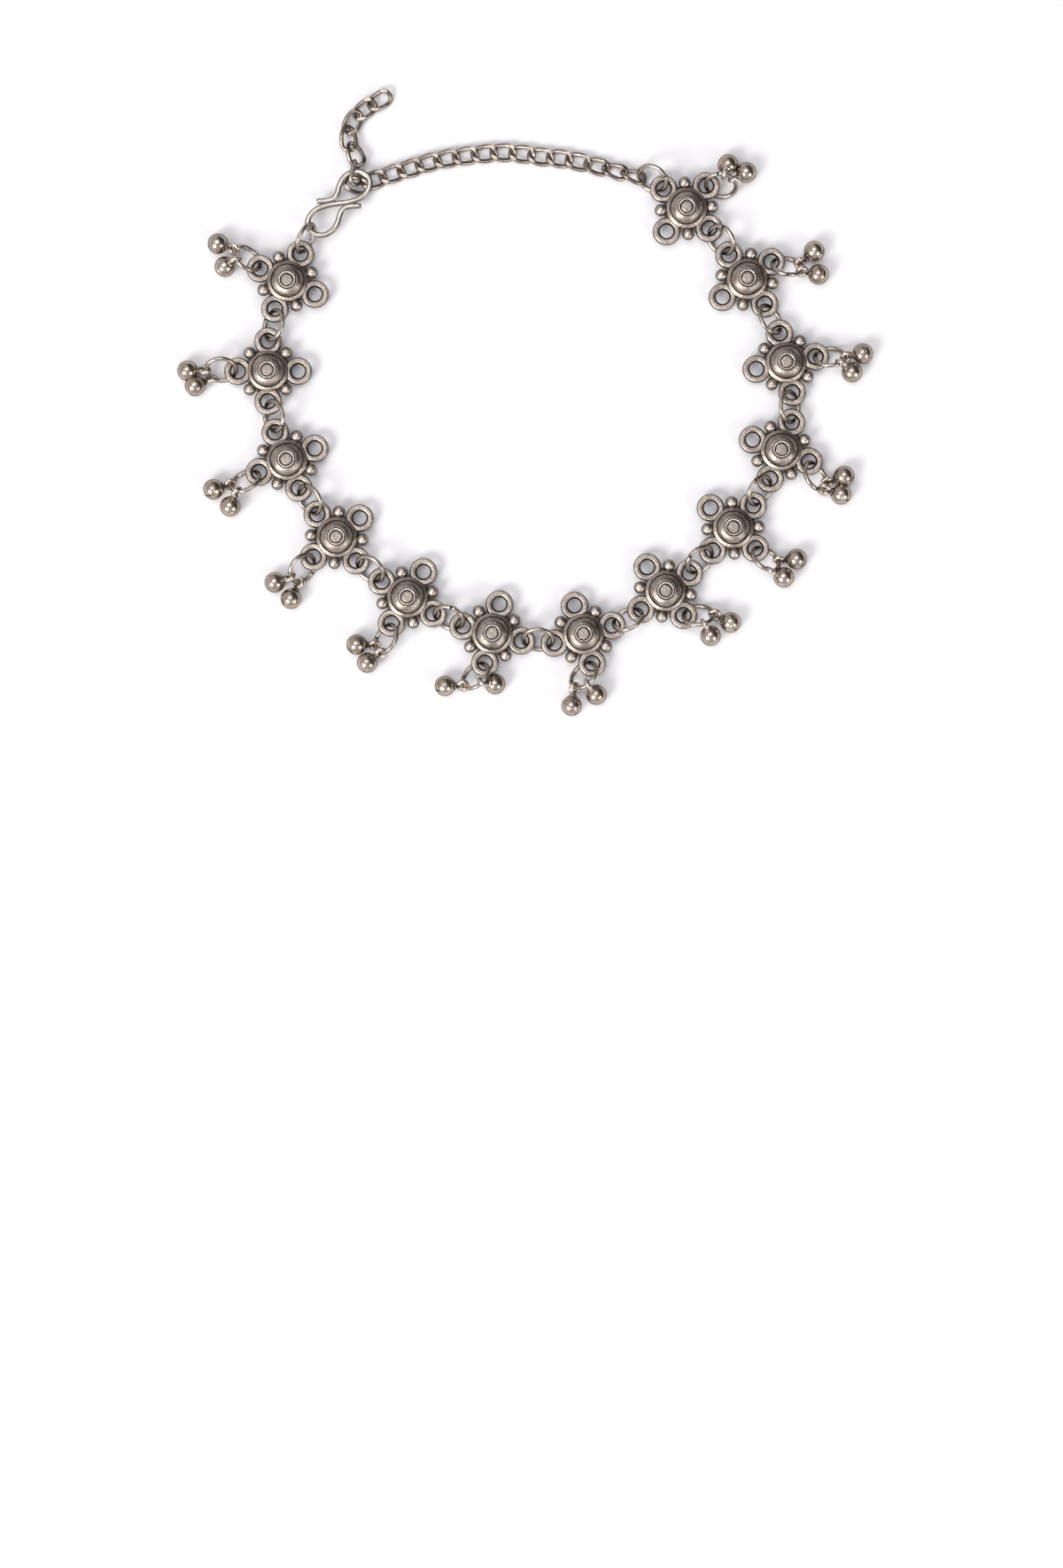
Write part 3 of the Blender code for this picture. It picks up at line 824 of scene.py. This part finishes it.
def bell_matrix(ring, place_degrees, heading_degrees, side):
    """The bell rests on the surface, and its eye is threaded on the ring's wire."""
    plan = math.radians(place_degrees)
    angle = math.atan2(math.sin(plan) / math.cos(ring.lean), math.cos(plan))
    wire = ring.point(angle)
    wire_run = ring.rise * math.cos(angle) - ring.ahead * math.sin(angle)
    reach = EYE_REACH + EYE_HOLE_R - RING_WIRE_R
    level = math.sqrt(reach**2 - (wire.z - BELL_R) ** 2)
    way = math.atan2(ring.ahead.y, ring.ahead.x) + side * math.radians(heading_degrees)
    centre = Vector((wire.x + level * math.cos(way), wire.y + level * math.sin(way), BELL_R))
    axis = (wire - centre).normalized()
    opening = (wire_run - axis * wire_run.dot(axis)).normalized()
    turn = Matrix((opening.cross(axis), opening, axis)).transposed().to_4x4()
    return Matrix.Translation(centre) @ turn


def link_shape(shape, centre, ahead, roll):
    """One twisted curb link, ground flat above and below."""
    left = Vector((0, 0, 1)).cross(ahead).normalized()
    ahead = Matrix.Rotation(-LINK_TILT, 3, left) @ ahead
    up = ahead.cross(left).normalized()
    across = left * math.cos(roll) + up * math.sin(roll)
    normal = ahead.cross(across)
    a = circle(LINK_STEPS)
    c, s = squared(a, LINK_SQUARENESS)
    half_length, half_width = LINK_LENGTH / 2, LINK_WIDTH / 2
    route = np.stack([c * half_length, s * half_width, np.sin(2 * a) * LINK_TWIST], 1)
    rows = wire_rows(route, (0, 0, 1), round_section(LINK_WIRE_R, LINK_SIDES), True)
    ground = np.abs(rows[:, :, 2]) > LINK_FLAT
    rows[:, :, 2] = np.clip(rows[:, :, 2], -LINK_FLAT, LINK_FLAT)
    # painted shade inside its two ends, where the neighbours lie
    ends = np.clip((np.abs(np.cos(a)) - 0.55) / 0.3, 0, 1)[:, None]
    along = rows[:, :, 0] ** 2 / half_length**2
    aside = rows[:, :, 1] ** 2 / half_width**2
    inner = np.clip((0.85 - (along + aside)) / 0.4, 0, 1)
    dirt = np.clip(ends * inner * 1.2, 0, 1)
    world = rows @ np.array([ahead, across, normal]) + np.array(centre)
    shape.grid(world, True, True, dirt=dirt, wear=np.where(ground, 0.2, 0.05))


def strand():
    """The walk along the strand, as in the part's source: each rosette, with the ring after it."""
    rows, entry = [], None
    for turn, ring_heading, stretch, side in ROSETTES:
        out, _ = heading(turn)
        centre = entry + out * LOOP_REACH if rows else Vector((0, 0, 0))
        ahead, _ = heading(ring_heading)
        start = centre + out * LOOP_REACH + ahead * (PLAY * stretch)
        ring = RingPose(start, ring_heading, side, RING_LEAN)
        rows.append((centre, turn, ring))
        far = ring.crossing(LOOP_Z, 1)
        entry = Vector((far.x, far.y, 0)) + ahead * (PLAY * stretch)
    return rows


def make_ring(name, cut, ring, wire, shift):
    mesh = ring_shape(cut).mesh(name + "_wire", [wire])
    show(name + "_wire", mesh, shift @ ring.matrix(), "bright_wire", name)


def make_drop(number, centre, outward, drop, bell, metals, shift):
    """One drop, with its two bells threaded on its ring. metals is the ring's and the bells'."""
    out, _ = heading(outward)
    ahead, _ = heading(outward + drop.turn)
    start = centre + out * LOOP_REACH + ahead * (PLAY * drop.stretch)
    ring = RingPose(start, outward + drop.turn, drop.lean_side, RING_LEAN)
    shape = Shape()
    shape.add(ring_shape(DROP_CUT + DROP_CUT_STEP * int(number)), ring.matrix(), 0)
    for place, way in ((drop.place_a, drop.heading_a), (drop.place_b, drop.heading_b)):
        shape.add(bell, bell_matrix(ring, place, way, drop.lean_side))
    shape.rest()
    mesh = shape.mesh("bells_" + number, metals)
    show("bells_" + number, mesh, shift, "polished_nickel", "bell_drop_" + number)


def make_hook(first_loop, wire, pale, shift):
    """The hook in its leaning ring, with a painted highlight along its top and painted shade down
    its sides. Returns the hook's middle.
    """
    ahead, _ = heading(HOOK_RING_HEADING)
    hook_z = LOOP_Z + HOOK_RISE
    ring = RingPose(first_loop + ahead * PLAY, HOOK_RING_HEADING, 1, HOOK_LEAN)
    make_ring("hook_ring", HOOK_RING_CUT, ring, wire, shift)
    grip = ring.crossing(hook_z, 1) - ahead * HOOK_PLAY
    middle = Vector((grip.x - HOOK_GRIP[0], grip.y - HOOK_GRIP[1], hook_z))
    half = [Vector((x, y, 0)) for x, y in HOOK_HALF]
    points = [middle - p for p in reversed(half[1:])] + [middle + p for p in half]
    route = even(smooth(points, 10), count=HOOK_STEPS)
    size = np.ones(len(route))
    size[:3] = HOOK_TIP
    size[-3:] = HOOK_TIP[::-1]
    a = circle(HOOK_SIDES)
    c, s = squared(a, HOOK_SQUARENESS)
    section = np.stack([c * HOOK_SKIN[0], s * HOOK_SKIN[1]], 1)[None] * size[:, None, None]
    # painted shade down the wire's two sides, and a painted highlight along its top
    sides = np.clip((np.abs(np.cos(a)) - 0.70) / 0.2, 0, 0.8)
    top_highlight = np.clip((np.sin(a) - 0.7) / 0.3, 0, 0.4)
    shape = Shape()
    sweep(shape, route, (0, 0, 1), section, False, dirt=sides[None, :], wear=top_highlight[None, :])
    show("hook_wire", shape.mesh("hook_wire", [pale], 60), shift, "pale_wire", "s_hook")
    return middle


def chain_rows(ring, hook_middle):
    """The middle, heading and roll of every link, as in the part's source."""
    flat_z = LINK_WIRE_R + LINK_TWIST
    ring_roll = math.pi / 2 - RING_LEAN
    hook = Vector((hook_middle.x, hook_middle.y, 0))
    grip = ring.crossing(flat_z + FIRST_LIFT, 1)
    grip.z = 0
    last = hook + Vector((*LAST_LINK, 0))
    first = grip + (last - grip).normalized() * FIRST_REACH
    run = last - first
    left = Vector((-run.y, run.x, 0))
    points = [first + run * along + left * aside for along, aside in CHAIN_ROUTE]
    main = even(smooth(points, 24), LINK_PITCH)
    points = [hook + Vector((x, y, 0)) for x, y in TAIL_ROUTE]
    tail = even(smooth(points, 24), TAIL_PITCH)
    rows = []
    for stretch, lift, end_roll in ((main, FIRST_LIFT, ring_roll), (tail, TAIL_LIFT, TAIL_ROLL)):
        for index, centre in enumerate(stretch):
            before = stretch[max(index - 1, 0)]
            after = stretch[min(index + 1, len(stretch) - 1)]
            lifted = max(0.0, 1 - index / LIFTED_LINKS)
            at = Vector((centre[0], centre[1], flat_z + lift * lifted))
            rows.append((at, Vector(after - before).normalized(), end_roll * lifted))
    at = hook + Vector((*HOOK_LINK, hook_middle.z - HOOK_LINK_DROP))
    rows[len(main):len(main)] = [
        (hook + Vector((*EYE_LINK, flat_z)), heading(EYE_LINK_HEADING)[0], 0.0),
        (at, heading(HOOK_LINK_HEADING)[0], HOOK_LINK_ROLL),
    ]
    return rows


def make_chain(ring, hook_middle, brown, shift):
    shape = Shape()
    for at, ahead, roll in chain_rows(ring, hook_middle):
        link_shape(shape, at, ahead, roll)
    shape.rest()
    show("curb_links", shape.mesh("curb_links", [brown], 40), shift, "brown_nickel", "curb_chain")


def build():
    silver, wire, nickel = antique_silver(), bright_wire(), polished_nickel()
    brown, pale = brown_nickel(), pale_wire()
    rosette = rosette_shape().mesh("rosette", [silver])
    bell = bell_shape()
    rows = strand()
    low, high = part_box("rosette_01")
    shift = (low + high) / 2 - rows[0][0]
    shift.z = RING_SKIN_R - RING_WIRE_R
    shift = Matrix.Translation(shift)
    for index, (centre, turn, ring) in enumerate(rows):
        number = "%02d" % (index + 1)
        place = shift @ Matrix.Translation(centre + Vector((0, 0, BACK_Z)))
        place = place @ Matrix.Rotation(math.radians(turn), 4, "Z")
        show("cast_rosette_" + number, rosette, place, "antique_silver", "rosette_" + number)
        last = index == len(rows) - 1
        name = "chain_ring" if last else "link_ring_" + number
        make_ring(name, RING_CUTS[index], ring, wire, shift)
        make_drop(number, centre, turn - 90, Drop(*DROPS[index]), bell, (wire, nickel), shift)
    centre, turn, _ = rows[0]
    first_loop = centre - heading(turn)[0] * LOOP_REACH
    hook_middle = make_hook(first_loop, wire, pale, shift)
    make_chain(rows[-1][2], hook_middle, brown, shift)


make_camera()
make_stage()
build()
